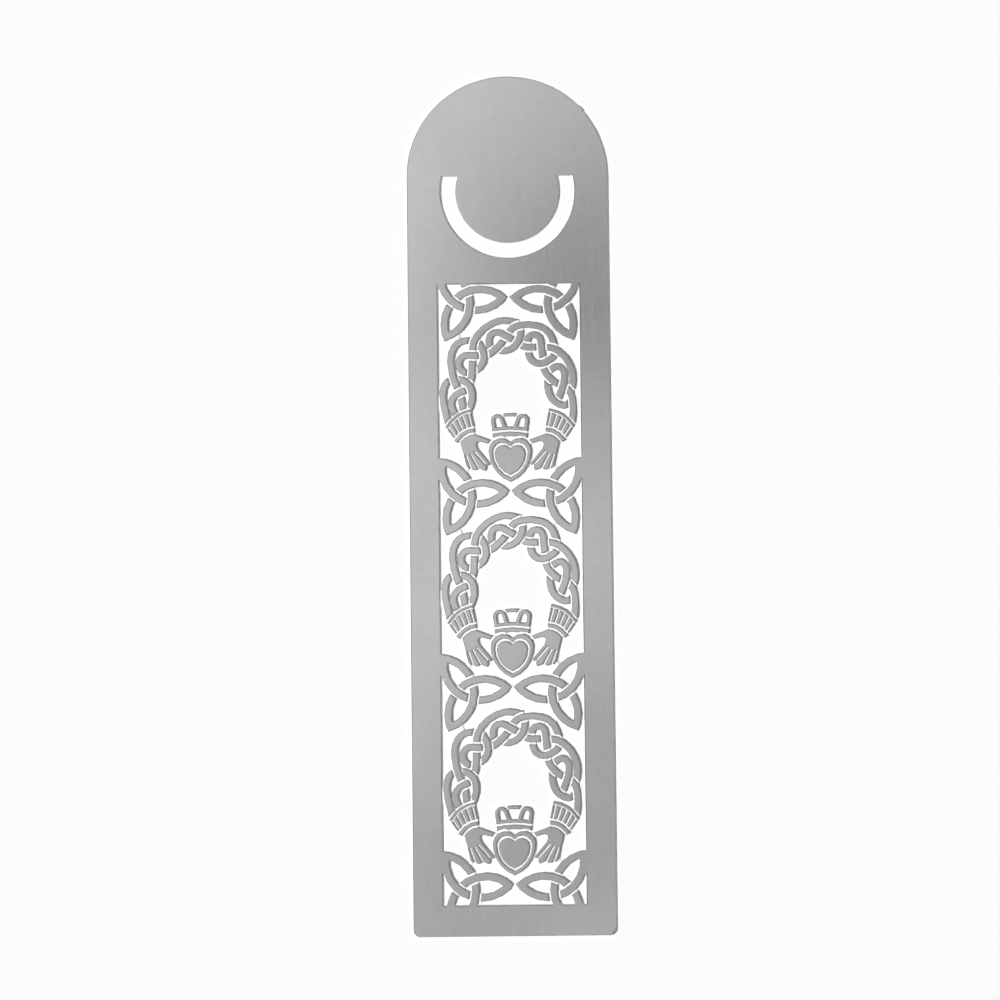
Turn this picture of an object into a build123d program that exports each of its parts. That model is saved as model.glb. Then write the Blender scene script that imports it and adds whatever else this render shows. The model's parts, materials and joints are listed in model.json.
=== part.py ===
from build123d import *
import os
from math import acos, atan2, ceil, degrees, pi, sqrt, tan

# A page-clip bookmark etched from one strip of steel. It lies face up: X across, Y along, head at +Y.
# Lengths are in millimetres, angles in degrees. Names ending in SHARE or SHARES are shares of another size.

# Strip
SHEET_THICKNESS = 0.30
ETCH_DEPTH = 0.15
PLATE_WIDTH = 25.4
PLATE_LENGTH = 107.95
FOOT_CORNER_RADIUS = 0.9
TAB_STUB_WIDTH = 0.8
TAB_STUB_HEIGHT = 0.08
TAB_STUB_ANGLE = 42

# Window that the fretwork fills
WINDOW_WIDTH = 17.78
HEAD_BAR_DEPTH = 3.38
FOOT_BAR_DEPTH = 3.93

# Clip tongue, cut free by a round slot below its root line
TONGUE_RADIUS = 6.60
TONGUE_CENTRE_DROP = 1.90
SLOT_WIDTH = 1.82
ROOT_CLEARANCE = 0.04

# Fretwork as a whole
UNIT_COUNT = 3
FIRST_BAND_DROP = 1.66
LAST_BAND_RISE = 2.32
FIRST_KNOT_SETBACK = 0.15
GROOVE_WIDTH = 0.25
BEND_SHARE = 0.5

# Round stretches of the fretwork are laid as chords that keep this close to the true curve
CHORD_SAG = 0.046

# Three-cornered knots
KNOT_CORNERS = 3
KNOT_STRAND_WIDTH = 0.94
KNOT_TURN = 4.5
KNOT_CROSSING_REACH = 1.15
KNOT_TIP_WEB = 0.60

# Braided wreath
STRAND_WIDTH = 0.86
STRAND_CROSSING_REACH = 1.15
RAIL_WEB_HEIGHT = 2.2
RAIL_WEB_REACH = 0.9
RAIL_WEB_CENTRE_SHARE = 0.46
WREATH_WEB_WIDTH = 0.80

# Heart
HEART_RIM_WIDTH = 0.50
HEART_SIDE_INSET_SHARE = 0.5
HEART_TIP_INSET_SHARE = 1.15
HEART_NOTCH_INSET_SHARE = 1.08

# Crown
CROWN_BAND_WIDTH = 0.58
CROWN_BAR_WIDTH = 0.42
CROWN_LOOP_WIDTH = 0.48
CROWN_TOP_BAR_WIDTH = 0.45
CROWN_TOP_WEB_WIDTH = 0.30
CROWN_FOOT_WEB_WIDTH = 0.80

# Cuffs and hands
CUFF_RIM_WIDTH = 0.40
CUFF_FLUTE_COUNT = 5
CUFF_FLUTE_WIDTH = 0.20
CUFF_LINE_WIDTH = 0.14
WRIST_BAND_WIDTH = 0.50
WRIST_BAND_OVERHANG = 0.30
FINGER_GROOVE_WIDTH = 0.20
FINGER_WEB_WIDTH = 0.60

# The drawing of a unit is given in shares: of the half window across, and of the pitch upwards.
# Its round forms are round where the pitch is this many half windows.
ROUND_PITCH_SHARE = 2.7612

# Knot on the left: its middle, and in shares of the half window both ways its tips and its arcs' centres
KNOT_CENTRE_SHARES = (-0.6412, -0.0102)
KNOT_TIP_SHARE = 0.634
KNOT_ARC_OFFSET_SHARE = 0.4094

# Heart
HEART_SIDE_SHARES = (-0.3037, 0.2143)
HEART_TIP_SHARES = (0, 0.053)
HEART_NOTCH_SHARES = (0, 0.2575)

# Braid strands, as corner points
BRAID_SHARES = {
    ("outer", 1): [(-0.87, 0.355), (-0.955, 0.495), (-0.91, 0.565), (-0.775, 0.587)],
    ("inner", 1): [(-0.84, 0.58), (-0.67, 0.582), (-0.548, 0.55), (-0.515, 0.475), (-0.60, 0.41)],
    ("hook", 1): [(-0.77, 0.40), (-0.845, 0.455), (-0.77, 0.505), (-0.54, 0.535)],
    ("link", 1): [(-0.655, 0.40), (-0.665, 0.45), (-0.705, 0.51)],
    ("outer", 2): [(-0.71, 0.51), (-0.82, 0.61), (-0.832, 0.715), (-0.72, 0.777), (-0.46, 0.783)],
    ("inner", 2): [(-0.47, 0.782), (-0.37, 0.735), (-0.345, 0.685), (-0.41, 0.637), (-0.545, 0.614)],
    ("hook", 2): [(-0.525, 0.616), (-0.655, 0.613), (-0.735, 0.659), (-0.66, 0.706), (-0.37, 0.70)],
    ("link", 2): [(-0.578, 0.538), (-0.525, 0.60), (-0.522, 0.705)],
    ("outer", 3): [(-0.522, 0.705), (-0.512, 0.775), (-0.36, 0.845), (-0.10, 0.889), (0.139, 0.867)],
    ("inner", 3): [(0.153, 0.86), (0.17, 0.80), (0.09, 0.746), (-0.05, 0.722), (-0.141, 0.728)],
    ("hook", 3): [(-0.20, 0.722), (-0.292, 0.75), (-0.275, 0.81), (-0.16, 0.826), (0.13, 0.765)],
    ("link", 3): [(-0.37, 0.695), (-0.26, 0.712), (-0.10, 0.765), (-0.02, 0.81)],
    ("outer", 4): [(-0.04, 0.80), (0.04, 0.846), (0.27, 0.865), (0.57, 0.835), (0.65, 0.735)],
    ("inner", 4): [(0.66, 0.735), (0.63, 0.69), (0.44, 0.65), (0.285, 0.675), (0.265, 0.74)],
    ("hook", 4): [(0.26, 0.735), (0.26, 0.808), (0.44, 0.808), (0.48, 0.66)],
    ("link", 4): [(0.10, 0.772), (0.20, 0.742), (0.47, 0.744)],
    ("outer", 5): [
        (0.46, 0.742), (0.62, 0.741), (0.81, 0.69), (0.903, 0.61), (0.895, 0.545), (0.845, 0.505),
    ],
    ("inner", 5): [(0.87, 0.47), (0.79, 0.435), (0.60, 0.463), (0.53, 0.535), (0.55, 0.595)],
    ("hook", 5): [(0.506, 0.606), (0.68, 0.65), (0.775, 0.625), (0.78, 0.56), (0.678, 0.472)],
    ("link", 5): [(0.469, 0.658), (0.50, 0.612), (0.63, 0.56), (0.765, 0.542)],
    ("outer", 6): [(0.75, 0.545), (0.875, 0.51), (0.907, 0.43), (0.875, 0.355)],
}
WREATH_WEB_SHARES = {
    "left": [(-0.765, 0.82), (-0.71, 0.77)],
    "right": [(0.62, 0.865), (0.55, 0.83)],
}

# Left cuff, and left hand from thumb to little finger; a third number says how much of a corner is rounded
CUFF_RIM_SHARES = [(-0.911, 0.339), (-0.77, 0.396), (-0.555, 0.427)]
CUFF_HEM_SHARES = [(-0.795, 0.28), (-0.675, 0.322), (-0.505, 0.34)]
HAND_SHARES = [
    (-0.40, 0.285, 0.3), (-0.233, 0.263, 0), (-0.233, 0.242, 0), (-0.44, 0.262, 0.4), (-0.473, 0.251, 0),
    (-0.468, 0.228, 0.45), (-0.38, 0.19, 0.3), (-0.279, 0.146, 0.3), (-0.301, 0.138, 0), (-0.342, 0.146, 0),
    (-0.332, 0.125, 0), (-0.35, 0.112, 0), (-0.39, 0.115, 0.4), (-0.448, 0.127, 0), (-0.471, 0.115, 0),
    (-0.519, 0.114, 0.4), (-0.55, 0.122, 0), (-0.584, 0.12, 0), (-0.62, 0.134, 0), (-0.658, 0.199, 0),
]
FINGER_GROOVE_SHARES = [
    [(-0.504, 0.21), (-0.342, 0.143)],
    [(-0.557, 0.199), (-0.448, 0.125)],
    [(-0.622, 0.193), (-0.55, 0.120)],
]
FINGER_WEB_SHARES = [(-0.58, 0.145), (-0.67, 0.095)]

# Crown; the loop and the foot web are the left ones of mirrored pairs
CROWN_BAND_SHARES = [(-0.244, 0.289), (0, 0.3025), (0.244, 0.289)]
CROWN_BAR_SHARES = [(-0.252, 0.321), (0, 0.3315), (0.252, 0.321)]
CROWN_LOOP_SHARES = [(-0.225, 0.329), (-0.25, 0.385), (-0.135, 0.396), (-0.072, 0.329)]
CROWN_TOP_BAR_SHARES = [(-0.09, 0.395), (0, 0.399), (0.09, 0.395)]
CROWN_TOP_WEB_SHARES = [(-0.14, 0.395), (0.14, 0.395)]
CROWN_FOOT_WEB_SHARES = [(-0.13, 0.288), (-0.13, 0.262)]

# Sizes that follow from the ones above
HALF_WINDOW = WINDOW_WIDTH / 2
HEAD_RADIUS = PLATE_WIDTH / 2
FLOOR_THICKNESS = SHEET_THICKNESS - ETCH_DEPTH
TOP_Y = PLATE_LENGTH / 2
FOOT_Y = -PLATE_LENGTH / 2
ROOT_Y = TOP_Y - HEAD_RADIUS
TONGUE_CENTRE_Y = ROOT_Y - TONGUE_CENTRE_DROP
WINDOW_TOP_Y = TONGUE_CENTRE_Y - TONGUE_RADIUS - SLOT_WIDTH - HEAD_BAR_DEPTH
WINDOW_FOOT_Y = FOOT_Y + FOOT_BAR_DEPTH
WINDOW_LENGTH = WINDOW_TOP_Y - WINDOW_FOOT_Y
FIRST_BAND_Y = WINDOW_TOP_Y - FIRST_BAND_DROP
UNIT_PITCH = (WINDOW_LENGTH - FIRST_BAND_DROP - LAST_BAND_RISE) / UNIT_COUNT
ROUND_PITCH = HALF_WINDOW * ROUND_PITCH_SHARE
KNOT_CORNER_TURN = 360 / KNOT_CORNERS
TINY = SHEET_THICKNESS / 10000


def spot(x_share, y_share):
    """Place in a unit, whose origin is the middle of the knot band below it."""
    return Vector(x_share * HALF_WINDOW, y_share * UNIT_PITCH)


def spots(shares):
    return [spot(*share) for share in shares]


def round_spot(x_share, y_share):
    """The same place where round forms are still round, before the unit is drawn out to its pitch."""
    return Vector(x_share * HALF_WINDOW, y_share * ROUND_PITCH)


def drawn_out(points):
    """Points of a round form, once the unit is drawn out to its pitch."""
    return [Vector(point.X, point.Y * UNIT_PITCH / ROUND_PITCH) for point in points]


def chord_turn(radius):
    """Turn in radians of a chord that keeps within the sag of an arc."""
    return 2 * acos(max(1 - CHORD_SAG / radius, 0))


def chords(arc):
    """Points along an arc, a chord apart."""
    steps = ceil(arc.length / arc.radius / chord_turn(arc.radius))
    return [arc @ (step / steps) for step in range(steps + 1)]


def outline(points):
    """Face within a closed chain of points, without points that repeat the one before them."""
    befores = points[-1:] + points[:-1]
    chain = [point for before, point in zip(befores, points) if (point - before).length > TINY]
    return make_face(Polyline(chain, close=True))


def disc_points(centre, radius):
    """Points round a circle, a chord apart."""
    steps = ceil(2 * pi / chord_turn(radius))
    return [centre + Vector(radius, 0).rotate(Axis.Z, 360 * step / steps) for step in range(steps)]


def disc(centre, radius):
    return outline(disc_points(centre, radius))


def run_normal(start, end):
    """Unit vector to the left of the run from start to end."""
    run = (end - start).normalized()
    return Vector(-run.Y, run.X)


def bend_points(before, corner, after, bend_share, shift=0):
    """Points round a corner whose arc takes a share of the shorter run, moved to the left by shift."""
    run_in = corner - before
    run_out = after - corner
    normal_in = run_normal(before, corner)
    normal_out = run_normal(corner, after)
    turn = atan2(run_in.cross(run_out).Z, run_in.dot(run_out))
    side = 1 if turn > 0 else -1
    reach = bend_share * min(run_in.length, run_out.length)
    radius = reach / tan(abs(turn) / 2) - side * shift
    if bend_share == 0 or radius <= 0:
        return [corner + (normal_in + normal_out) * (shift / (1 + normal_in.dot(normal_out)))]
    entry = corner - run_in.normalized() * reach + normal_in * shift
    spoke = normal_in * (-side * radius)
    steps = ceil(abs(turn) / chord_turn(radius))
    return [entry - spoke + spoke.rotate(Axis.Z, degrees(turn) * step / steps) for step in range(steps + 1)]


def ribbon(points, width):
    """Flat strand of even width along a route of corner points, each rounded as far as it goes."""
    sides = []
    for shift in (width / 2, -width / 2):
        side = [points[0] + run_normal(points[0], points[1]) * shift]
        for before, corner, after in zip(points, points[1:], points[2:]):
            side += bend_points(before, corner, after, BEND_SHARE, shift)
        side.append(points[-1] + run_normal(points[-2], points[-1]) * shift)
        sides.append(side)
    return outline(sides[0] + sides[1][::-1])


def rounded_outline(points, bend_shares):
    """Face within corner points, each corner rounded by its share of the shorter run beside it."""
    chain = []
    for corner in zip(points[-1:] + points[:-1], points, points[1:] + points[:1], bend_shares):
        chain += bend_points(*corner)
    return outline(chain)


def mirrored(shape):
    return mirror(shape, about=Plane.YZ)


def band_face(foot, top, width=WINDOW_WIDTH):
    """Rectangle across the strip between two heights."""
    return Pos(0, (foot + top) / 2) * Rectangle(width, top - foot)


def tongue_face(growth, root_clearance):
    """Round tongue below the root line, grown outwards and set back from the root line."""
    round_end = Pos(0, TONGUE_CENTRE_Y) * Circle(TONGUE_RADIUS + growth)
    return round_end & band_face(FOOT_Y, ROOT_Y - root_clearance, PLATE_WIDTH)


def plate_face():
    """Head, rails and foot bar, round the clip opening and the window."""
    strip = band_face(FOOT_Y, ROOT_Y, PLATE_WIDTH)
    strip = fillet(strip.vertices().group_by(Axis.Y)[0], FOOT_CORNER_RADIUS)
    head = Pos(0, ROOT_Y) * Circle(HEAD_RADIUS)
    stub = Rectangle(HEAD_RADIUS + TAB_STUB_HEIGHT, TAB_STUB_WIDTH, align=(Align.MIN, Align.CENTER))
    stub = Pos(0, ROOT_Y) * Rot(0, 0, TAB_STUB_ANGLE) * stub
    return strip + head + stub - tongue_face(SLOT_WIDTH, 0) - band_face(WINDOW_FOOT_Y, WINDOW_TOP_Y)


def knot_faces():
    """Floor and relief of a left knot about its band's middle: three arcs, each under the next one."""
    centre = round_spot(*KNOT_CENTRE_SHARES)
    tip_radius = HALF_WINDOW * KNOT_TIP_SHARE
    arc_offset = HALF_WINDOW * KNOT_ARC_OFFSET_SHARE
    outer_radius = sqrt(arc_offset**2 + tip_radius**2 - arc_offset * tip_radius)
    inner_radius = outer_radius - KNOT_STRAND_WIDTH
    middle_radius = outer_radius - KNOT_STRAND_WIDTH / 2
    crossing_radius = sqrt(middle_radius**2 - 3 * arc_offset**2 / 4) - arc_offset / 2
    turns = [KNOT_TURN + KNOT_CORNER_TURN * (arc + 1 / 2) for arc in range(KNOT_CORNERS)]
    directions = [Vector(1, 0).rotate(Axis.Z, turn) for turn in turns]

    def knot_disc(arc, distance, radius):
        return outline(drawn_out(disc_points(centre + directions[arc] * distance, radius)))

    def knot_ring(arc, growth):
        hole = knot_disc(arc, arc_offset, inner_radius - growth)
        return knot_disc(arc, arc_offset, outer_radius + growth) - hole

    discs = [knot_disc(arc, arc_offset, outer_radius) for arc in range(KNOT_CORNERS)]
    strands = [knot_ring(arc, 0) & (discs[arc - 1] + discs[arc - 2]) for arc in range(KNOT_CORNERS)]
    reliefs = []
    for arc in range(KNOT_CORNERS):
        crossing = knot_disc(arc - 1, crossing_radius, KNOT_CROSSING_REACH)
        reliefs.append(strands[arc] - (knot_ring(arc - 2, GROOVE_WIDTH) & crossing))
    tip = drawn_out([centre + Vector(tip_radius, 0).rotate(Axis.Z, KNOT_TURN)])[0]
    web = Pos(0, tip.Y) * Rectangle(KNOT_TIP_WEB, KNOT_TIP_WEB, align=(Align.MAX, Align.CENTER))
    return Sketch() + strands + web, Sketch() + reliefs


def strand_covers(kind, cell):
    """The two strands that a braid strand dives under, at its start and at its end."""
    return {
        "outer": [("hook", cell - 1), ("outer", cell + 1)],
        "inner": [("outer", cell + 1), ("link", cell)],
        "hook": [("link", cell), ("inner", cell)],
        "link": [("inner", cell - 1), ("hook", cell)],
    }[kind]


def braid_faces():
    """Floor, relief and groove-grown outer strands of the braided wreath, before the cuffs cut its ends."""
    routes = {key: spots(shares) for key, shares in BRAID_SHARES.items()}
    strands = {key: ribbon(route, STRAND_WIDTH) for key, route in routes.items()}
    grown = {key: ribbon(route, STRAND_WIDTH + 2 * GROOVE_WIDTH) for key, route in routes.items()}
    reliefs = []
    for key, strand in strands.items():
        for end, cover in zip((routes[key][0], routes[key][-1]), strand_covers(*key)):
            if cover in grown:
                strand -= grown[cover] & disc(end, STRAND_CROSSING_REACH)
        reliefs.append(strand)
    rail_web = Rectangle(RAIL_WEB_REACH, RAIL_WEB_HEIGHT, align=(Align.MIN, Align.CENTER))
    rail_web = Pos(spot(-1, RAIL_WEB_CENTRE_SHARE)) * rail_web
    floor = Sketch() + list(strands.values()) + rail_web + mirrored(rail_web)
    outers = [face for (kind, cell), face in grown.items() if kind == "outer"]
    return floor, Sketch() + reliefs, Sketch() + outers


def heart_face(inset):
    """Heart outline, drawn in on all sides by inset."""
    side = round_spot(*HEART_SIDE_SHARES) + Vector(inset, -inset * HEART_SIDE_INSET_SHARE)
    tip = round_spot(*HEART_TIP_SHARES) + Vector(0, inset * HEART_TIP_INSET_SHARE)
    notch = round_spot(*HEART_NOTCH_SHARES) - Vector(0, inset * HEART_NOTCH_INSET_SHARE)
    flank = chords(TangentArc(side, tip, tangent=(0, -1)))
    lobe = chords(TangentArc(side, notch, tangent=(0, 1)))
    left = drawn_out(flank[::-1] + lobe)
    return outline(left + [Vector(-point.X, point.Y) for point in left[::-1]])


def hand_faces():
    """Floor and relief of the left hand with its cuff and wrist band, and a guard for the cuff."""
    rim = ThreePointArc(*spots(CUFF_RIM_SHARES))
    hem = ThreePointArc(*spots(CUFF_HEM_SHARES))
    hem_points = chords(hem)
    cuff = outline(chords(rim) + hem_points[::-1])
    cuff_guard = cuff + ribbon(chords(rim), 2 * GROOVE_WIDTH)
    flute_shares = [(flute + 1 / 2) / CUFF_FLUTE_COUNT for flute in range(CUFF_FLUTE_COUNT)]
    flutes = [ribbon(chords(rim.offset_2d(CUFF_RIM_WIDTH)), CUFF_LINE_WIDTH)]
    for share in flute_shares:
        run = (hem @ share - rim @ share).normalized()
        ends = [rim @ share + run * CUFF_RIM_WIDTH, hem @ share + run * GROOVE_WIDTH]
        flutes.append(ribbon(ends, CUFF_FLUTE_WIDTH))

    # Wrist band and hand follow the hem, a groove apart
    band_top = hem.radius - GROOVE_WIDTH
    band_foot = band_top - WRIST_BAND_WIDTH
    hand_top = band_foot - GROOVE_WIDTH

    def along_hem(points, radius):
        return [hem.arc_center + (point - hem.arc_center).normalized() * radius for point in points]

    overhang = hem_points[0] + (hem_points[0] - hem_points[1]).normalized() * WRIST_BAND_OVERHANG
    band_points = [overhang] + hem_points
    band = outline(along_hem(band_points, band_top) + along_hem(band_points, band_foot)[::-1])
    wrist = outline(hem_points + along_hem(hem_points, hand_top)[::-1]) + band
    knuckles = [spot(x, y) for x, y, bend in HAND_SHARES]
    bends = [0] * len(hem_points) + [bend for x, y, bend in HAND_SHARES]
    hand = rounded_outline(along_hem(hem_points, hand_top) + knuckles, bends)
    finger_grooves = [ribbon(spots(shares), FINGER_GROOVE_WIDTH) for shares in FINGER_GROOVE_SHARES]
    return cuff + wrist + hand, (cuff - flutes) + band + (hand - finger_grooves), cuff_guard


def crown_faces():
    """Floor and relief of the crown: a band on two webs, then a bar with two loops and a bar behind them."""
    band = ribbon(spots(CROWN_BAND_SHARES), CROWN_BAND_WIDTH)
    bar = ribbon(spots(CROWN_BAR_SHARES), CROWN_BAR_WIDTH)
    loop = ribbon(spots(CROWN_LOOP_SHARES), CROWN_LOOP_WIDTH)
    loop_guard = ribbon(spots(CROWN_LOOP_SHARES), CROWN_LOOP_WIDTH + 2 * GROOVE_WIDTH)
    top_bar = ribbon(spots(CROWN_TOP_BAR_SHARES), CROWN_TOP_BAR_WIDTH)
    top_web = ribbon(spots(CROWN_TOP_WEB_SHARES), CROWN_TOP_WEB_WIDTH)
    web = outline(spots(CROWN_BAND_SHARES) + spots(CROWN_BAR_SHARES)[::-1])
    upper = bar + loop + mirrored(loop)
    foot_web = ribbon(spots(CROWN_FOOT_WEB_SHARES), CROWN_FOOT_WEB_WIDTH)
    floor = band + web + upper + top_bar + top_web + foot_web + mirrored(foot_web)
    return floor, band + upper + (top_bar - loop_guard - mirrored(loop_guard))


def etched(floor, relief):
    """Solid with its floor at the etched depth and its relief up to the face of the sheet."""
    raised = extrude(Pos(0, 0, FLOOR_THICKNESS) * relief, ETCH_DEPTH)
    return extrude(floor, FLOOR_THICKNESS) + raised


def unit_parts():
    """Solids of one ring emblem, and the floors and guards that the knots round it make way for."""
    heart = heart_face(0)
    heart_guard = heart_face(-GROOVE_WIDTH)
    heart_core = heart_face(HEART_RIM_WIDTH + GROOVE_WIDTH)
    heart_relief = heart - heart_face(HEART_RIM_WIDTH) + heart_core

    hand_floor, hand_relief, cuff_guard = hand_faces()
    hand_floor -= heart
    hand_relief -= heart_guard
    both_hands = hand_floor + mirrored(hand_floor)

    crown_floor, crown_relief = crown_faces()
    crown_floor -= heart + both_hands
    crown_relief -= heart_guard

    wreath_floor, wreath_relief, wreath_guard = braid_faces()
    wreath_floor -= both_hands
    wreath_relief -= cuff_guard + mirrored(cuff_guard)

    left_hand = etched(hand_floor, hand_relief)
    parts = {
        "heart": etched(heart, heart_relief),
        "left_hand": left_hand,
        "right_hand": mirrored(left_hand),
        "crown": etched(crown_floor, crown_relief),
        "wreath": etched(wreath_floor, wreath_relief),
    }
    return parts, both_hands, wreath_floor, wreath_guard


def unit_place(unit):
    """Place of a ring emblem, counted from the top."""
    return Pos(0, FIRST_BAND_Y - unit * UNIT_PITCH)


def main():
    nodes = {
        "frame_plate": extrude(plate_face(), SHEET_THICKNESS),
        "clip_tongue": extrude(tongue_face(0, ROOT_CLEARANCE), SHEET_THICKNESS),
    }
    parts, both_hands, wreath_floor, wreath_guard = unit_parts()
    for unit in range(1, UNIT_COUNT + 1):
        for name, solid in parts.items():
            nodes[f"{name}_{unit}"] = unit_place(unit) * solid

    # Knots make way for the hands above and the wreath below, and reach them with half-etched webs
    window = band_face(WINDOW_FOOT_Y, WINDOW_TOP_Y)
    left_floor, left_relief = knot_faces()
    left_web = ribbon(spots(FINGER_WEB_SHARES), FINGER_WEB_WIDTH)
    sides = {
        "left": (left_floor, left_relief, left_web),
        "right": (mirrored(left_floor), mirrored(left_relief), mirrored(left_web)),
    }
    for band in range(UNIT_COUNT + 1):
        place = unit_place(band)
        if band == 0:
            place = place * Pos(0, -FIRST_KNOT_SETBACK)
        for side, (floor, relief, finger_web) in sides.items():
            floor = place * floor
            relief = place * relief
            if band > 0:
                floor = floor + place * finger_web - place * both_hands
            if band < UNIT_COUNT:
                below = unit_place(band + 1)
                wreath_web = ribbon(spots(WREATH_WEB_SHARES[side]), WREATH_WEB_WIDTH)
                floor = floor + below * wreath_web - below * wreath_floor
                relief = relief - below * wreath_guard
            floor = floor & window
            nodes[f"knot_{band + 1}_{side}"] = etched(floor, relief & floor)

    os.makedirs("parts", exist_ok=True)
    for name, solid in nodes.items():
        export_step(solid, f"parts/{name}.step")


if __name__ == "__main__":
    main()
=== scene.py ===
import json
import math

import bmesh
import bpy
from mathutils import Euler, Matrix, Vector


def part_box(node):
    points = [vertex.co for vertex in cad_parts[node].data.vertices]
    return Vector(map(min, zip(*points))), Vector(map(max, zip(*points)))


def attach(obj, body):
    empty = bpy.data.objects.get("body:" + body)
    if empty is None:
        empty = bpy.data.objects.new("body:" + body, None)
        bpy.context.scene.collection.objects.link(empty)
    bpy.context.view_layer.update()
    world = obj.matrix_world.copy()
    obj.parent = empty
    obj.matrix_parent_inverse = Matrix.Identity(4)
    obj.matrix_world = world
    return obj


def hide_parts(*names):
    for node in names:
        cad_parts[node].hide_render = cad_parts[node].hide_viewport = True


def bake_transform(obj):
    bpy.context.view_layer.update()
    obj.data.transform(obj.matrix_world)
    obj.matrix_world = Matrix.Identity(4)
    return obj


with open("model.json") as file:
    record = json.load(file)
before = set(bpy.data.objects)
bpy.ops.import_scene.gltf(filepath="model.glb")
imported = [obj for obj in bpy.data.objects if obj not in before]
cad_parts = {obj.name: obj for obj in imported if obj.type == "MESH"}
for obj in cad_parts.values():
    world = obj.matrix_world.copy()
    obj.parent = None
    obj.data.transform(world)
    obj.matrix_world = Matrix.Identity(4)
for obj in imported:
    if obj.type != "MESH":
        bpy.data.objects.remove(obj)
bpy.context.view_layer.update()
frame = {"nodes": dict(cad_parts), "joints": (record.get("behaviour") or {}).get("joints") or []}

# A page-clip bookmark of etched steel that lies face up on white: X across, Y along, head at +Y

MM = 0.001
X, Y, Z = range(3)
LOW, HIGH = range(2)
DECIMALS = 4


def corners_of(node):
    """Lowest and highest corner of a solid, in millimetres."""
    return [[round(place / MM, DECIMALS) for place in corner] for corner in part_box(node)]


# Sizes of the solids, in millimetres
SHEET_TOP = corners_of("frame_plate")[HIGH][Z]
WINDOW_HALF = corners_of("knot_1_right")[HIGH][X]
WINDOW_TOP_Y = corners_of("knot_1_right")[HIGH][Y]
WINDOW_FOOT_Y = corners_of("knot_4_right")[LOW][Y]
ROOT_Y = round(frame["joints"][0]["pos_m"][Y] / MM, DECIMALS)
TONGUE_RADIUS = 6.60
TONGUE_CENTRE_Y = corners_of("clip_tongue")[LOW][Y] + TONGUE_RADIUS

# Sizes of the dressing, in millimetres
EDGE_SLOPE = 0.14
STRAND_ROOT_DEPTH = 1.5 * EDGE_SLOPE
SOFT_EDGE = 0.26
JOIN_DISTANCE = 0.012
NEAR = 0.003
ON_FACE = SHEET_TOP - NEAR


# Node helpers

def new_material(name):
    material = bpy.data.materials.new(name)
    material.use_nodes = True
    material.node_tree.nodes.clear()
    return material, material.node_tree


def feed(tree, socket, value):
    """A socket takes a link or a plain number."""
    if isinstance(value, bpy.types.NodeSocket):
        tree.links.new(value, socket)
    else:
        socket.default_value = value


def maths(tree, operation, *values, clamp=False):
    node = tree.nodes.new("ShaderNodeMath")
    node.operation = operation
    node.use_clamp = clamp
    for socket, value in zip(node.inputs, values):
        feed(tree, socket, value)
    return node.outputs["Value"]


def total(tree, *values):
    result = values[0]
    for value in values[1:]:
        result = maths(tree, "ADD", result, value)
    return result


def ramp(tree, value, low, high, out_low, out_high, smooth=False):
    node = tree.nodes.new("ShaderNodeMapRange")
    node.clamp = True
    if smooth:
        node.interpolation_type = "SMOOTHSTEP"
    names = ("Value", "From Min", "From Max", "To Min", "To Max")
    for name, number in zip(names, (value, low, high, out_low, out_high)):
        feed(tree, node.inputs[name], number)
    return node.outputs["Result"]


def blend_of(tree, share, low, high):
    node = tree.nodes.new("ShaderNodeMix")
    node.data_type = "FLOAT"
    for name, value in zip(("Factor", "A", "B"), (share, low, high)):
        feed(tree, node.inputs[name], value)
    return node.outputs["Result"]


def noise(tree, coords, scale, detail, stretch=(1, 1, 1)):
    mapping = tree.nodes.new("ShaderNodeMapping")
    mapping.inputs["Scale"].default_value = stretch
    feed(tree, mapping.inputs["Vector"], coords)
    node = tree.nodes.new("ShaderNodeTexNoise")
    node.inputs["Scale"].default_value = scale
    node.inputs["Detail"].default_value = detail
    feed(tree, node.inputs["Vector"], mapping.outputs["Vector"])
    return node.outputs["Fac"]


def parts_of(tree, vector):
    """The X, Y and Z of a vector, as sockets."""
    split = tree.nodes.new("ShaderNodeSeparateXYZ")
    feed(tree, split.inputs["Vector"], vector)
    return split.outputs


def show(tree, shader):
    output = tree.nodes.new("ShaderNodeOutputMaterial")
    feed(tree, output.inputs["Surface"], shader)


# Steel: greys are shares of white, and lengths are in millimetres

SHEET_GREY = 0.50
FRETWORK_GREY = 0.49
# Painted shade: the dark grey that etched edges leaning outwards are blended to
EDGE_SHADE_GREY = 0.28
FROSTED_GREYS = (0.89, 0.95)
FROSTED_ROUGHNESS = 0.55
FACE_ROUGHNESS = (0.19, 0.22)
BUMP_STRENGTH = 0.03
BUMP_HEIGHT = 0.003

# Height of the etched layer's middle, and how far from it the frost ends and the rolled face begins
ETCH_MIDDLE = 0.115
ETCH_REACH = (0.075, 0.112)

# Levels of noise between which a texture swings, and how far it shifts the grey
SWING = (0.3, 0.7)
WIDE_SWING = (0.25, 0.75)
GRAIN_SHIFT = 0.006
CLOUD_SHIFT = 0.02
MOTTLE_SHIFT = 0.01

GRAIN = {"scale": 9000, "detail": 3, "stretch": (1, 0.03, 1)}
CLOUD = {"scale": 70, "detail": 4}
MOTTLE = {"scale": 1100, "detail": 5}
SPECK_SCALE = 110
SPECK_RADII = (0.010, 0.020)
SPECK_LIGHT = 0.14

# How upright a normal stands where the painted edge shade is full, and where the plain face begins
SOFT_EDGE_UPRIGHT = (0.95, 0.996)
SLOPE_UPRIGHT = (0.94, 0.988)
BEVEL_SAMPLES = 6

# Sockets of a mix node that take and give vectors
VECTOR_A, VECTOR_B = 4, 5
VECTOR_RESULT = 1


def plain_normal(tree):
    return tree.nodes.new("ShaderNodeNewGeometry").outputs["Normal"]


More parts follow.
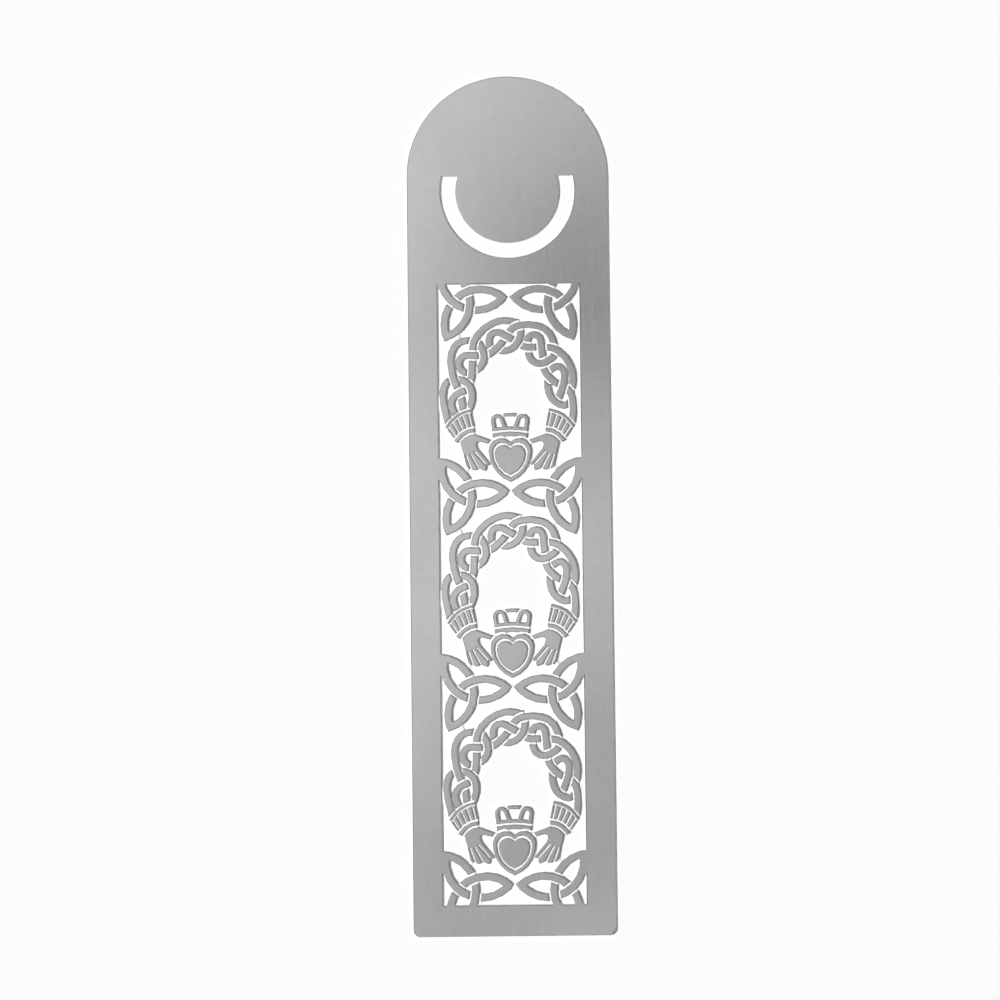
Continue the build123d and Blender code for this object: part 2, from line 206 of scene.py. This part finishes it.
def soft_edge_normal(tree, place, raised):
    """Edges of the face that lean outwards, but not where the fretwork runs on into the plate."""
    soft = tree.nodes.new("ShaderNodeBevel")
    soft.samples = BEVEL_SAMPLES
    soft.inputs["Radius"].default_value = SOFT_EDGE * MM
    from_side = maths(tree, "SUBTRACT", WINDOW_HALF * MM, maths(tree, "ABSOLUTE", place["X"]))
    from_top = maths(tree, "SUBTRACT", WINDOW_TOP_Y * MM, place["Y"])
    from_foot = maths(tree, "SUBTRACT", place["Y"], WINDOW_FOOT_Y * MM)
    inset = maths(tree, "MINIMUM", maths(tree, "MINIMUM", from_side, from_top), from_foot)
    clear = ramp(tree, inset, SOFT_EDGE / 2 * MM, SOFT_EDGE * MM, 0, 1)
    mix = tree.nodes.new("ShaderNodeMix")
    mix.data_type = "VECTOR"
    feed(tree, mix.inputs["Factor"], maths(tree, "MULTIPLY", clear, raised))
    feed(tree, mix.inputs[VECTOR_A], plain_normal(tree))
    feed(tree, mix.inputs[VECTOR_B], soft.outputs["Normal"])
    return mix.outputs[VECTOR_RESULT]


def steel_material(name, face_grey, soft_edges):
    """Satin rolled steel on both faces, with painted shade along its edges, and frosted white in the
    etched layer.
    """
    material, tree = new_material(name)
    coords = tree.nodes.new("ShaderNodeTexCoord").outputs["Object"]
    place = parts_of(tree, coords)

    grain = noise(tree, coords, **GRAIN)
    cloud = noise(tree, coords, **CLOUD)
    mottle = noise(tree, coords, **MOTTLE)
    cells = tree.nodes.new("ShaderNodeTexVoronoi")
    cells.inputs["Scale"].default_value = SPECK_SCALE
    feed(tree, cells.inputs["Vector"], coords)
    face = total(
        tree,
        ramp(tree, grain, *SWING, -GRAIN_SHIFT, GRAIN_SHIFT),
        ramp(tree, cloud, *SWING, -CLOUD_SHIFT, CLOUD_SHIFT),
        ramp(tree, mottle, *SWING, -MOTTLE_SHIFT, MOTTLE_SHIFT),
        ramp(tree, cells.outputs["Distance"], *SPECK_RADII, SPECK_LIGHT, 0),
        face_grey,
    )

    # The etch leaves a frosted floor between the rolled faces
    height = maths(tree, "SUBTRACT", place["Z"], ETCH_MIDDLE * MM)
    raised = ramp(tree, maths(tree, "ABSOLUTE", height), *(reach * MM for reach in ETCH_REACH), 0, 1)
    frosted = ramp(tree, mottle, *SWING, *FROSTED_GREYS)
    grey = blend_of(tree, raised, frosted, face)

    normal = soft_edge_normal(tree, place, raised) if soft_edges else plain_normal(tree)
    # Painted shade: where the normal leans outwards at an edge, the grey is blended towards a dark grey
    upright = maths(tree, "ABSOLUTE", parts_of(tree, normal)["Z"])
    painted_edge_shade = ramp(tree, upright, *(SOFT_EDGE_UPRIGHT if soft_edges else SLOPE_UPRIGHT), 1, 0)
    grey = blend_of(tree, maths(tree, "MULTIPLY", raised, painted_edge_shade), grey, EDGE_SHADE_GREY)
    colour = tree.nodes.new("ShaderNodeCombineColor")
    for channel in ("Red", "Green", "Blue"):
        feed(tree, colour.inputs[channel], grey)

    bump = tree.nodes.new("ShaderNodeBump")
    bump.inputs["Strength"].default_value = BUMP_STRENGTH
    bump.inputs["Distance"].default_value = BUMP_HEIGHT * MM
    feed(tree, bump.inputs["Height"], total(tree, grain, mottle))
    feed(tree, bump.inputs["Normal"], normal)

    shader = tree.nodes.new("ShaderNodeBsdfPrincipled")
    face_roughness = ramp(tree, grain, *WIDE_SWING, *FACE_ROUGHNESS)
    feed(tree, shader.inputs["Metallic"], raised)
    feed(tree, shader.inputs["Base Color"], colour.outputs["Color"])
    feed(tree, shader.inputs["Roughness"], blend_of(tree, raised, FROSTED_ROUGHNESS, face_roughness))
    feed(tree, shader.inputs["Normal"], bump.outputs["Normal"])
    show(tree, shader.outputs["BSDF"])
    return material


sheet_steel = steel_material("satin_sheet_steel", SHEET_GREY, soft_edges=False)
fretwork_steel = steel_material("satin_fretwork_steel", FRETWORK_GREY, soft_edges=True)
SHEET_NODES = ("frame_plate", "clip_tongue")
for name, node in frame["nodes"].items():
    node.data.materials.clear()
    node.data.materials.append(sheet_steel if name in SHEET_NODES else fretwork_steel)


# Sloped etched edges of the plate

SLOPED_TURN = math.radians(60)
SHARP_TURN = math.radians(30)


def new_modifier_nodes(name):
    tree = bpy.data.node_groups.new(name, "GeometryNodeTree")
    for way in ("INPUT", "OUTPUT"):
        tree.interface.new_socket("Geometry", in_out=way, socket_type="NodeSocketGeometry")
    place = parts_of(tree, tree.nodes.new("GeometryNodeInputPosition").outputs["Position"])
    angle = tree.nodes.new("GeometryNodeInputMeshEdgeAngle").outputs["Unsigned Angle"]
    geometry = tree.nodes.new("NodeGroupInput").outputs["Geometry"]
    return tree, geometry, angle, place


def keep_sharp(tree, geometry, chosen):
    node = tree.nodes.new("GeometryNodeSetShadeSmooth")
    node.domain = "EDGE"
    feed(tree, node.inputs["Geometry"], geometry)
    feed(tree, node.inputs["Selection"], chosen)
    node.inputs["Shade Smooth"].default_value = False
    return node.outputs["Geometry"]


def hand_on(tree, geometry):
    feed(tree, tree.nodes.new("NodeGroupOutput").inputs["Geometry"], geometry)


def slope_marks():
    """Marks the sharp edges of the face for a slope, but not the tongue's root line."""
    tree, geometry, angle, place = new_modifier_nodes("plate_edges")
    sharp = maths(tree, "GREATER_THAN", angle, SLOPED_TURN)
    on_face = maths(tree, "GREATER_THAN", place["Z"], ON_FACE * MM)
    from_root = maths(tree, "ABSOLUTE", maths(tree, "SUBTRACT", place["Y"], ROOT_Y * MM))
    off_root = maths(tree, "GREATER_THAN", from_root, NEAR * MM)
    across = maths(tree, "ABSOLUTE", place["X"])
    beside_root = maths(tree, "GREATER_THAN", across, TONGUE_RADIUS * MM)
    clear = maths(tree, "MAXIMUM", off_root, beside_root)
    mark = maths(tree, "MULTIPLY", maths(tree, "MULTIPLY", sharp, clear), on_face)
    store = tree.nodes.new("GeometryNodeStoreNamedAttribute")
    store.data_type = "FLOAT"
    store.domain = "EDGE"
    store.inputs["Name"].default_value = "bevel_weight_edge"
    unmarked = maths(tree, "SUBTRACT", sharp, mark)
    feed(tree, store.inputs["Geometry"], keep_sharp(tree, geometry, unmarked))
    feed(tree, store.inputs["Value"], mark)
    hand_on(tree, store.outputs["Geometry"])
    return tree


def foot_marks():
    """Keeps the lower edge of each slope, and all edges below it, sharp."""
    tree, geometry, angle, place = new_modifier_nodes("slope_feet")
    sharp = maths(tree, "GREATER_THAN", angle, SHARP_TURN)
    low = maths(tree, "LESS_THAN", place["Z"], ON_FACE * MM)
    hand_on(tree, keep_sharp(tree, geometry, maths(tree, "MULTIPLY", sharp, low)))
    return tree


def slope_edges(piece):
    """Joins split corners, slopes the marked edges, and shades the faces flat up to the slopes."""
    weld = piece.modifiers.new("join_corners", "WELD")
    weld.merge_threshold = JOIN_DISTANCE * MM
    piece.modifiers.new("mark_edges", "NODES").node_group = slope_marks()
    bevel = piece.modifiers.new("etched_edge", "BEVEL")
    bevel.limit_method = "WEIGHT"
    bevel.width = EDGE_SLOPE * MM
    bevel.segments = 1
    bevel.use_clamp_overlap = False
    bevel.face_strength_mode = "FSTR_ALL"
    piece.modifiers.new("keep_feet", "NODES").node_group = foot_marks()
    normals = piece.modifiers.new("even_faces", "WEIGHTED_NORMAL")
    normals.keep_sharp = True
    normals.use_face_influence = True


slope_edges(frame["nodes"]["frame_plate"])


# Strand roots: the axis, place and outward way of each side of the window

WINDOW_SIDES = (
    (X, -WINDOW_HALF, -1),
    (X, WINDOW_HALF, 1),
    (Y, WINDOW_FOOT_Y, -1),
    (Y, WINDOW_TOP_Y, 1),
)


def runs_into_plate():
    """Where the raised strands of the knots meet the window's sides: axis, place, way, start and end."""
    runs = set()
    for name, node in frame["nodes"].items():
        if not name.startswith("knot"):
            continue
        mesh = node.data
        for edge in mesh.edges:
            ends = [mesh.vertices[index].co / MM for index in edge.vertices]
            if min(end.z for end in ends) < ON_FACE:
                continue
            for axis, place, way in WINDOW_SIDES:
                if all(abs(end[axis] - place) < NEAR for end in ends):
                    start, stop = sorted(round(end[1 - axis], DECIMALS) for end in ends)
                    runs.add((axis, place, way, start, stop))
    return sorted(runs)


def strand_roots():
    """Fills the plate's sloped window edge where a raised strand runs on into it."""
    filler = bmesh.new()
    for axis, place, way, start, stop in runs_into_plate():
        rings = []
        for z in (SHEET_TOP - STRAND_ROOT_DEPTH, SHEET_TOP):
            ring = []
            for along, out in ((start, 0), (stop, 0), (stop, EDGE_SLOPE), (start, EDGE_SLOPE)):
                point = Vector((0, 0, z))
                point[axis] = place + way * out
                point[1 - axis] = along
                ring.append(filler.verts.new(point * MM))
            filler.faces.new(ring)
            rings.append(ring)
        lower, upper = rings
        for step in range(len(lower)):
            filler.faces.new([lower[step - 1], lower[step], upper[step], upper[step - 1]])
    bmesh.ops.recalc_face_normals(filler, faces=filler.faces)
    mesh = bpy.data.meshes.new("strand_roots")
    filler.to_mesh(mesh)
    filler.free()
    mesh.materials.append(fretwork_steel)
    piece = bpy.data.objects.new("strand_roots", mesh)
    bpy.context.scene.collection.objects.link(piece)
    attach(piece, "plate")


strand_roots()


# The tongue as one sheet, so that its root stays unbroken

TONGUE_ROWS = 30
TONGUE_COLUMNS = 16
FLAT_FROM = 0.9
WALL_UP_TO = 0.1
UP = Vector((0, 0, 1))


def tongue_layer(sheet, radius, z, shares):
    """Rows of points from the root to the tip at one height, the tip, and the outline round them."""
    start = math.asin((ROOT_Y - TONGUE_CENTRE_Y) / radius)
    grid = []
    for row in range(TONGUE_ROWS):
        angle = start - (start + math.pi / 2) * row / TONGUE_ROWS
        y = TONGUE_CENTRE_Y + radius * math.sin(angle)
        half = radius * math.cos(angle)
        grid.append([sheet.verts.new(Vector((half * share, y, z)) * MM) for share in shares])
    tip = sheet.verts.new(Vector((0, TONGUE_CENTRE_Y - radius, z)) * MM)
    outline = [row[0] for row in grid] + [tip] + [row[-1] for row in reversed(grid)]
    return grid, tip, outline


def cover(sheet, grid, tip):
    for column in range(TONGUE_COLUMNS):
        for upper, lower in zip(grid, grid[1:]):
            sheet.faces.new([upper[column], lower[column], lower[column + 1], upper[column + 1]])
        sheet.faces.new([grid[-1][column], tip, grid[-1][column + 1]])


def tongue_normals(mesh):
    """Flat face and back, upright wall, and a slope that leaves the face smoothly."""
    normals = []
    for face in mesh.polygons:
        for index in face.vertices:
            spot = mesh.vertices[index].co
            out = Vector((spot.x, spot.y - TONGUE_CENTRE_Y * MM, 0)).normalized()
            if abs(face.normal.z) > FLAT_FROM:
                normals.append(face.normal)
            elif face.normal.z < WALL_UP_TO:
                normals.append(out)
            elif spot.z > ON_FACE * MM:
                normals.append(UP)
            else:
                normals.append((out + UP).normalized())
    return normals


def tongue_sheet():
    sheet = bmesh.new()
    across = [2 * column / TONGUE_COLUMNS - 1 for column in range(TONGUE_COLUMNS + 1)]
    back = tongue_layer(sheet, TONGUE_RADIUS, 0, across)
    slope_foot = tongue_layer(sheet, TONGUE_RADIUS, SHEET_TOP - EDGE_SLOPE, (-1, 1))
    face = tongue_layer(sheet, TONGUE_RADIUS - EDGE_SLOPE, SHEET_TOP, across)
    for grid, tip, outline in (back, face):
        cover(sheet, grid, tip)
    outlines = [outline for grid, tip, outline in (back, slope_foot, face)]
    for lower, upper in zip(outlines, outlines[1:]):
        for step in range(len(lower) - 1):
            sheet.faces.new([lower[step], lower[step + 1], upper[step + 1], upper[step]])
    bmesh.ops.recalc_face_normals(sheet, faces=sheet.faces)
    for side in sheet.faces:
        side.smooth = True
    mesh = bpy.data.meshes.new("tongue_sheet")
    sheet.to_mesh(mesh)
    sheet.free()
    mesh.materials.append(sheet_steel)
    mesh.normals_split_custom_set(tongue_normals(mesh))
    piece = bpy.data.objects.new("tongue_sheet", mesh)
    bpy.context.scene.collection.objects.link(piece)
    return piece


tongue = tongue_sheet()
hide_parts("clip_tongue")
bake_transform(tongue)


# Floor and softbox: lengths in millimetres, levels as shares of white

FLOOR_SIZE = 30000
FLOOR_DROP = 0.02
FLOOR_WHITE = 0.93
FLOOR_GLOW = 0.03
SOFTBOX_CENTRE = (0, 15, 400)
SOFTBOX_WIDTH = 170
SOFTBOX_LENGTH = 400
SOFTBOX_FADE = 60
SOFTBOX_LEVELS = (1.14, 0.93)
SPOT_RADIUS = 60

# Across and along from the softbox's middle, and change of level
SOFTBOX_SPOTS = (
    (18, 64, -1.0),
    (-24, -120, -0.62),
    (27, -81, -0.47),
    (-28, 80, 0.26),
    (-5, 122, 0.08),
)


def panel(name, centre, width, length):
    corners = [(-width, -length), (width, -length), (width, length), (-width, length)]
    mesh = bpy.data.meshes.new(name)
    mesh.from_pydata([Vector((x, y, 0)) * MM / 2 for x, y in corners], [], [range(len(corners))])
    piece = bpy.data.objects.new(name, mesh)
    piece.location = Vector(centre) * MM
    bpy.context.scene.collection.objects.link(piece)
    return piece


def white_floor():
    floor = panel("floor", (0, 0, -FLOOR_DROP), FLOOR_SIZE, FLOOR_SIZE)
    material, tree = new_material("white_floor")
    diffuse = tree.nodes.new("ShaderNodeBsdfDiffuse")
    diffuse.inputs["Color"].default_value = (FLOOR_WHITE, FLOOR_WHITE, FLOOR_WHITE, 1)
    glow = tree.nodes.new("ShaderNodeEmission")
    path = tree.nodes.new("ShaderNodeLightPath").outputs
    seen = total(tree, *(path[f"Is {ray} Ray"] for ray in ("Camera", "Glossy", "Transmission")))
    mix = tree.nodes.new("ShaderNodeMixShader")
    feed(tree, mix.inputs["Fac"], maths(tree, "MULTIPLY", seen, FLOOR_GLOW, clamp=True))
    feed(tree, mix.inputs[1], diffuse.outputs["BSDF"])
    feed(tree, mix.inputs[2], glow.outputs["Emission"])
    show(tree, mix.outputs["Shader"])
    floor.data.materials.append(material)


def soft_ceiling():
    """Softbox above the camera, a little uneven, which the satin face mirrors."""
    ceiling = panel("softbox", SOFTBOX_CENTRE, SOFTBOX_WIDTH, SOFTBOX_LENGTH)
    material, tree = new_material("softbox")
    coords = tree.nodes.new("ShaderNodeTexCoord").outputs["Object"]
    across = parts_of(tree, coords)["X"]
    level = ramp(tree, across, -SOFTBOX_FADE * MM, SOFTBOX_FADE * MM, *SOFTBOX_LEVELS, smooth=True)
    for x, y, change in SOFTBOX_SPOTS:
        distance = tree.nodes.new("ShaderNodeVectorMath")
        distance.operation = "DISTANCE"
        feed(tree, distance.inputs[0], coords)
        distance.inputs[1].default_value = Vector((x, y, 0)) * MM
        spot = ramp(tree, distance.outputs["Value"], 0, SPOT_RADIUS * MM, change, 0, smooth=True)
        level = total(tree, level, spot)
    glow = tree.nodes.new("ShaderNodeEmission")
    feed(tree, glow.inputs["Strength"], level)
    show(tree, glow.outputs["Emission"])
    ceiling.data.materials.append(material)
    ceiling.visible_camera = False
    ceiling.visible_shadow = False


# Studio and key light: both come from the left, a little from the foot's side

LIGHT_TURN = math.radians(12)
LIGHT_HEIGHT = math.radians(58)
LIT_SIDE = Vector((-math.cos(LIGHT_TURN), -math.sin(LIGHT_TURN), 0))
KEY_ENERGY = 3.25
KEY_SPREAD = math.radians(4)
STUDIO_SIDES = (-0.5, 0.6)
STUDIO_LEVELS = (0.42, 1.2)
HORIZON = (0.24, 0.42)
HORIZON_LEVEL = 0.75
FILL_LEVEL = 0.06


def studio_world():
    """White studio, even near the horizon, and above that bright on the left and dim on the right."""
    world = bpy.data.worlds.new("studio")
    bpy.context.scene.world = world
    world.use_nodes = True
    tree = world.node_tree
    way = tree.nodes.new("ShaderNodeTexCoord").outputs["Generated"]
    side = tree.nodes.new("ShaderNodeVectorMath")
    side.operation = "DOT_PRODUCT"
    feed(tree, side.inputs[0], way)
    side.inputs[1].default_value = LIT_SIDE
    upper = ramp(tree, side.outputs["Value"], *STUDIO_SIDES, *STUDIO_LEVELS, smooth=True)
    above = ramp(tree, parts_of(tree, way)["Z"], *HORIZON, 0, 1, smooth=True)
    level = blend_of(tree, above, HORIZON_LEVEL, upper)
    path = tree.nodes.new("ShaderNodeLightPath").outputs
    level = blend_of(tree, path["Is Diffuse Ray"], level, FILL_LEVEL)
    level = blend_of(tree, path["Is Camera Ray"], level, 1)
    background = tree.nodes["Background"]
    background.inputs["Color"].default_value = (1, 1, 1, 1)
    feed(tree, background.inputs["Strength"], level)


def key_light():
    """Even light, high enough that etched edges throw short shadows."""
    data = bpy.data.lights.new("key", "SUN")
    data.energy = KEY_ENERGY
    data.angle = KEY_SPREAD
    lamp = bpy.data.objects.new("key", data)
    way = -LIT_SIDE * math.cos(LIGHT_HEIGHT) - UP * math.sin(LIGHT_HEIGHT)
    lamp.rotation_euler = way.to_track_quat("-Z", "Y").to_euler()
    lamp.visible_glossy = False
    bpy.context.scene.collection.objects.link(lamp)


# Camera: place in millimetres, turns in degrees, lens and sensor in millimetres, reach in metres

CAMERA_PLACE = (-1.386, -11.877, 300.853)
CAMERA_TURNS = (2.3417, 0.0145, -0.6185)
LENS = 86.4
SENSOR_WIDTH = 36
NEAREST, FARTHEST = 0.01, 40


def photo_camera():
    data = bpy.data.cameras.new("photo_camera")
    data.sensor_width = SENSOR_WIDTH
    data.lens = LENS
    data.clip_start = NEAREST
    data.clip_end = FARTHEST
    camera = bpy.data.objects.new("photo_camera", data)
    camera.location = Vector(CAMERA_PLACE) * MM
    camera.rotation_euler = Euler([math.radians(turn) for turn in CAMERA_TURNS])
    bpy.context.scene.collection.objects.link(camera)
    bpy.context.scene.camera = camera


white_floor()
soft_ceiling()
studio_world()
key_light()
photo_camera()
bpy.context.scene.view_settings.view_transform = "Standard"
